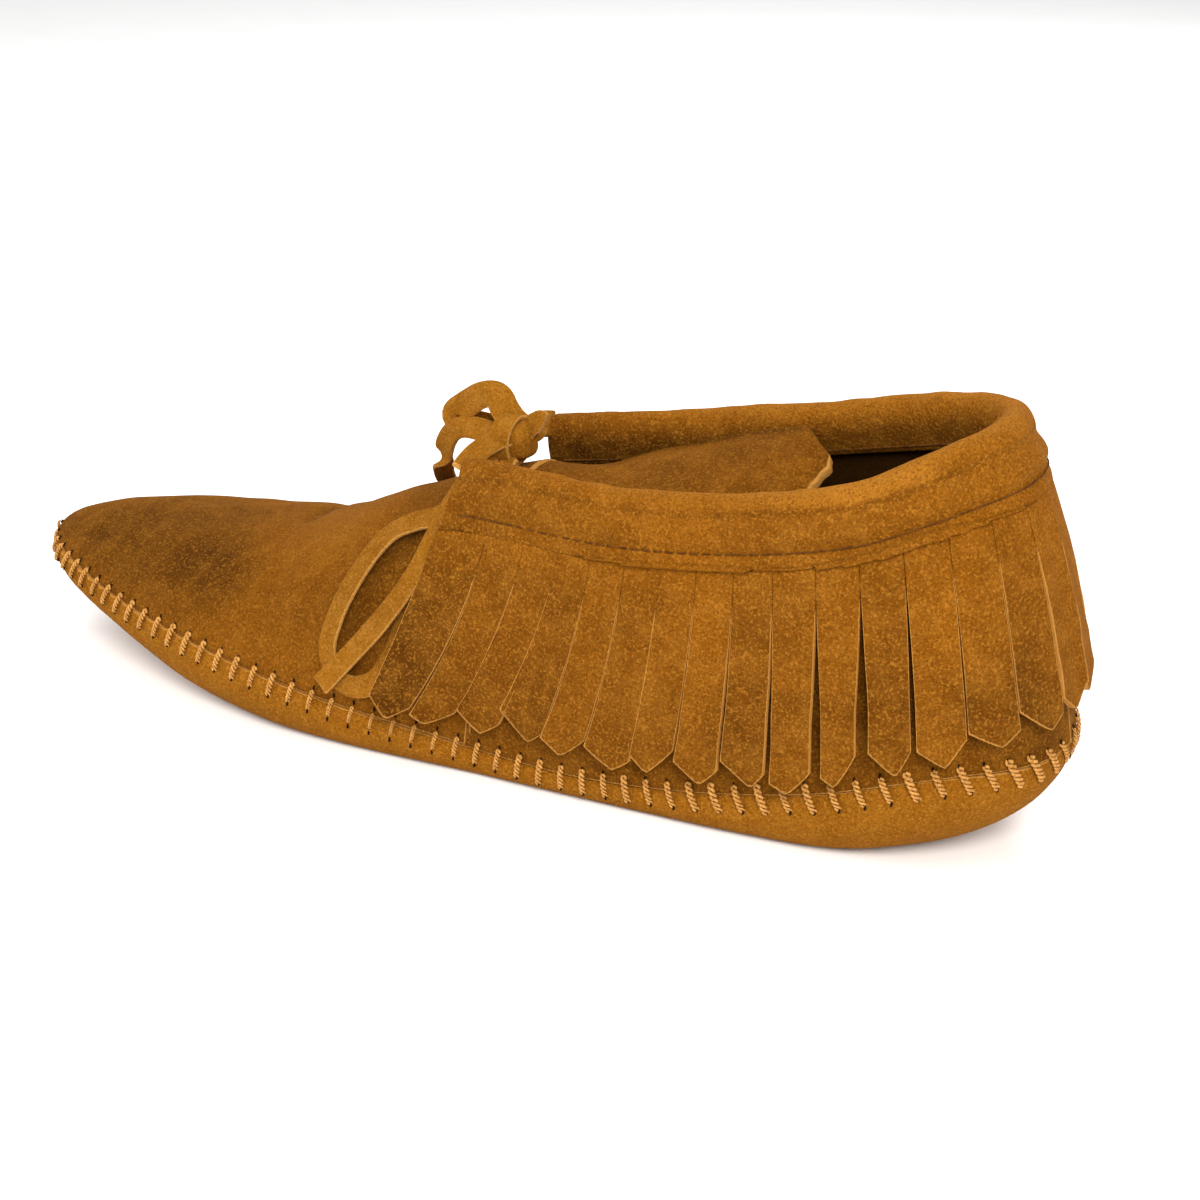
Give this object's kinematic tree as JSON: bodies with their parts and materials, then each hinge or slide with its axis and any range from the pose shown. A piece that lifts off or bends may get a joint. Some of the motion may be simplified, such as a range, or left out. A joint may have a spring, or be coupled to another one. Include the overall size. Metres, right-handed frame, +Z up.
{
  "type": "fringed moccasin",
  "caption": "Brown suede ankle moccasin for the left foot, with a puckered stitched vamp, a collar that carries a cut fringe, and a suede lace tied in a bow.",
  "frame": {"origin": "on the floor plane, under the middle of the shoe's length and width", "axes": "+X towards the heel, +Z up, -Y towards the outer side of the left foot"},
  "size_m": [0.2671, 0.082, 0.0914],
  "materials": {
    "suede": "matte",
    "sole_suede": "matte",
    "lace_suede": "matte",
    "thread": "matte",
    "foam": "matte",
    "lining": "matte"
  },
  "bodies": {
    "root": {"collar_stitches": "thread", "fringe_band": "suede", "inner_quarter": "suede", "insole_cover": "lining", "insole_pad": "foam", "lace_far": "lace_suede", "lace_far_end": "lace_suede", "lace_in_tunnel": "lace_suede", "lace_knot": "lace_suede", "lace_near": "lace_suede", "lace_near_end": "lace_suede", "outer_quarter": "suede", "sole_cup": "sole_suede", "sole_stitches": "thread", "vamp": "suede"},
    "tongue_flap": {"tongue": "suede"},
    "strip_outer_01": {"fringe_outer_01": "suede"},
    "strip_outer_02": {"fringe_outer_02": "suede"},
    "strip_outer_03": {"fringe_outer_03": "suede"},
    "strip_outer_04": {"fringe_outer_04": "suede"},
    "strip_outer_05": {"fringe_outer_05": "suede"},
    "strip_outer_06": {"fringe_outer_06": "suede"},
    "strip_outer_07": {"fringe_outer_07": "suede"},
    "strip_outer_08": {"fringe_outer_08": "suede"},
    "strip_outer_09": {"fringe_outer_09": "suede"},
    "strip_outer_10": {"fringe_outer_10": "suede"},
    "strip_outer_11": {"fringe_outer_11": "suede"},
    "strip_outer_12": {"fringe_outer_12": "suede"},
    "strip_outer_13": {"fringe_outer_13": "suede"},
    "strip_outer_14": {"fringe_outer_14": "suede"},
    "strip_outer_15": {"fringe_outer_15": "suede"},
    "strip_outer_16": {"fringe_outer_16": "suede"},
    "strip_inner_01": {"fringe_inner_01": "suede"},
    "strip_inner_02": {"fringe_inner_02": "suede"},
    "strip_inner_03": {"fringe_inner_03": "suede"},
    "strip_inner_04": {"fringe_inner_04": "suede"},
    "strip_inner_05": {"fringe_inner_05": "suede"},
    "strip_inner_06": {"fringe_inner_06": "suede"},
    "strip_inner_07": {"fringe_inner_07": "suede"},
    "strip_inner_08": {"fringe_inner_08": "suede"},
    "strip_inner_09": {"fringe_inner_09": "suede"},
    "strip_inner_10": {"fringe_inner_10": "suede"},
    "strip_inner_11": {"fringe_inner_11": "suede"},
    "strip_inner_12": {"fringe_inner_12": "suede"},
    "strip_inner_13": {"fringe_inner_13": "suede"},
    "strip_inner_14": {"fringe_inner_14": "suede"},
    "strip_inner_15": {"fringe_inner_15": "suede"},
    "strip_inner_16": {"fringe_inner_16": "suede"}
  },
  "joints": [
    {"name": "tongue_fold", "type": "hinge", "parent": "root", "child": "tongue_flap", "pos_m": [0.0096, 0, 0.0631], "axis": [0, -1, 0], "range_deg": [0, 70]},
    {"name": "flick_outer_01", "type": "hinge", "parent": "root", "child": "strip_outer_01", "pos_m": [0.00225, -0.02878, 0.05562], "axis": [-0.9971, 0.0628, -0.0419], "range_deg": [0, 60]},
    {"name": "flick_outer_02", "type": "hinge", "parent": "root", "child": "strip_outer_02", "pos_m": [0.011, -0.02926, 0.05576], "axis": [-0.9975, 0.071, 0.0027], "range_deg": [0, 60]},
    {"name": "flick_outer_03", "type": "hinge", "parent": "root", "child": "strip_outer_03", "pos_m": [0.01974, -0.02983, 0.05581], "axis": [-0.9969, 0.0774, -0.0159], "range_deg": [0, 60]},
    {"name": "flick_outer_04", "type": "hinge", "parent": "root", "child": "strip_outer_04", "pos_m": [0.02854, -0.03042, 0.05609], "axis": [-0.9967, 0.0643, -0.049], "range_deg": [0, 60]},
    {"name": "flick_outer_05", "type": "hinge", "parent": "root", "child": "strip_outer_05", "pos_m": [0.03744, -0.03083, 0.0568], "axis": [-0.9932, 0.0348, -0.111], "range_deg": [0, 60]},
    {"name": "flick_outer_06", "type": "hinge", "parent": "root", "child": "strip_outer_06", "pos_m": [0.04616, -0.03108, 0.05788], "axis": [-0.9904, 0.0271, -0.1357], "range_deg": [0, 60]},
    {"name": "flick_outer_07", "type": "hinge", "parent": "root", "child": "strip_outer_07", "pos_m": [0.0549, -0.03132, 0.05912], "axis": [-0.9888, 0.03, -0.1459], "range_deg": [0, 60]},
    {"name": "flick_outer_08", "type": "hinge", "parent": "root", "child": "strip_outer_08", "pos_m": [0.06361, -0.03148, 0.06042], "axis": [-0.9887, 0.0105, -0.1499], "range_deg": [0, 60]},
    {"name": "flick_outer_09", "type": "hinge", "parent": "root", "child": "strip_outer_09", "pos_m": [0.07241, -0.03146, 0.06173], "axis": [-0.9896, -0.0133, -0.1431], "range_deg": [0, 60]},
    {"name": "flick_outer_10", "type": "hinge", "parent": "root", "child": "strip_outer_10", "pos_m": [0.08132, -0.03101, 0.06346], "axis": [-0.9671, -0.0866, -0.2394], "range_deg": [0, 60]},
    {"name": "flick_outer_11", "type": "hinge", "parent": "root", "child": "strip_outer_11", "pos_m": [0.08978, -0.0298, 0.06604], "axis": [-0.9237, -0.1822, -0.337], "range_deg": [0, 60]},
    {"name": "flick_outer_12", "type": "hinge", "parent": "root", "child": "strip_outer_12", "pos_m": [0.0978, -0.02757, 0.06934], "axis": [-0.8638, -0.3094, -0.3978], "range_deg": [0, 60]},
    {"name": "flick_outer_13", "type": "hinge", "parent": "root", "child": "strip_outer_13", "pos_m": [0.10531, -0.02417, 0.07241], "axis": [-0.8373, -0.458, -0.2987], "range_deg": [0, 60]},
    {"name": "flick_outer_14", "type": "hinge", "parent": "root", "child": "strip_outer_14", "pos_m": [0.11233, -0.01934, 0.07433], "axis": [-0.7599, -0.6348, -0.1401], "range_deg": [0, 60]},
    {"name": "flick_outer_15", "type": "hinge", "parent": "root", "child": "strip_outer_15", "pos_m": [0.11811, -0.01268, 0.07537], "axis": [-0.5246, -0.8466, -0.0895], "range_deg": [0, 60]},
    {"name": "flick_outer_16", "type": "hinge", "parent": "root", "child": "strip_outer_16", "pos_m": [0.12133, -0.00448, 0.07576], "axis": [-0.1961, -0.9806, 0.002], "range_deg": [0, 60]},
    {"name": "flick_inner_01", "type": "hinge", "parent": "root", "child": "strip_inner_01", "pos_m": [0.00251, 0.02836, 0.05563], "axis": [0.9951, 0.0894, 0.0428], "range_deg": [0, 60]},
    {"name": "flick_inner_02", "type": "hinge", "parent": "root", "child": "strip_inner_02", "pos_m": [0.0111, 0.02905, 0.05577], "axis": [0.9953, 0.097, -0.0028], "range_deg": [0, 60]},
    {"name": "flick_inner_03", "type": "hinge", "parent": "root", "child": "strip_inner_03", "pos_m": [0.01974, 0.02982, 0.05581], "axis": [0.9948, 0.101, 0.0159], "range_deg": [0, 60]},
    {"name": "flick_inner_04", "type": "hinge", "parent": "root", "child": "strip_inner_04", "pos_m": [0.02851, 0.03058, 0.05609], "axis": [0.9955, 0.0817, 0.049], "range_deg": [0, 60]},
    {"name": "flick_inner_05", "type": "hinge", "parent": "root", "child": "strip_inner_05", "pos_m": [0.03743, 0.03112, 0.0568], "axis": [0.9927, 0.0479, 0.1103], "range_deg": [0, 60]},
    {"name": "flick_inner_06", "type": "hinge", "parent": "root", "child": "strip_inner_06", "pos_m": [0.04622, 0.03147, 0.05788], "axis": [0.9903, 0.0359, 0.1343], "range_deg": [0, 60]},
    {"name": "flick_inner_07", "type": "hinge", "parent": "root", "child": "strip_inner_07", "pos_m": [0.05506, 0.03176, 0.05912], "axis": [0.989, 0.034, 0.144], "range_deg": [0, 60]},
    {"name": "flick_inner_08", "type": "hinge", "parent": "root", "child": "strip_inner_08", "pos_m": [0.06389, 0.03196, 0.06042], "axis": [0.9889, 0.0132, 0.1477], "range_deg": [0, 60]},
    {"name": "flick_inner_09", "type": "hinge", "parent": "root", "child": "strip_inner_09", "pos_m": [0.07282, 0.03196, 0.06172], "axis": [0.9899, -0.0113, 0.1411], "range_deg": [0, 60]},
    {"name": "flick_inner_10", "type": "hinge", "parent": "root", "child": "strip_inner_10", "pos_m": [0.08186, 0.03153, 0.06346], "axis": [0.9683, -0.0822, 0.2359], "range_deg": [0, 60]},
    {"name": "flick_inner_11", "type": "hinge", "parent": "root", "child": "strip_inner_11", "pos_m": [0.09045, 0.03034, 0.06603], "axis": [0.9262, -0.1774, 0.3326], "range_deg": [0, 60]},
    {"name": "flick_inner_12", "type": "hinge", "parent": "root", "child": "strip_inner_12", "pos_m": [0.09852, 0.02806, 0.06933], "axis": [0.8593, -0.3217, 0.3975], "range_deg": [0, 60]},
    {"name": "flick_inner_13", "type": "hinge", "parent": "root", "child": "strip_inner_13", "pos_m": [0.10592, 0.0245, 0.07241], "axis": [0.8222, -0.4832, 0.3009], "range_deg": [0, 60]},
    {"name": "flick_inner_14", "type": "hinge", "parent": "root", "child": "strip_inner_14", "pos_m": [0.11272, 0.01951, 0.07433], "axis": [0.7373, -0.6606, 0.1415], "range_deg": [0, 60]},
    {"name": "flick_inner_15", "type": "hinge", "parent": "root", "child": "strip_inner_15", "pos_m": [0.11828, 0.01273, 0.07537], "axis": [0.506, -0.8578, 0.0898], "range_deg": [0, 60]},
    {"name": "flick_inner_16", "type": "hinge", "parent": "root", "child": "strip_inner_16", "pos_m": [0.12137, 0.00449, 0.07576], "axis": [0.1878, -0.9822, -0.002], "range_deg": [0, 60]}
  ]
}
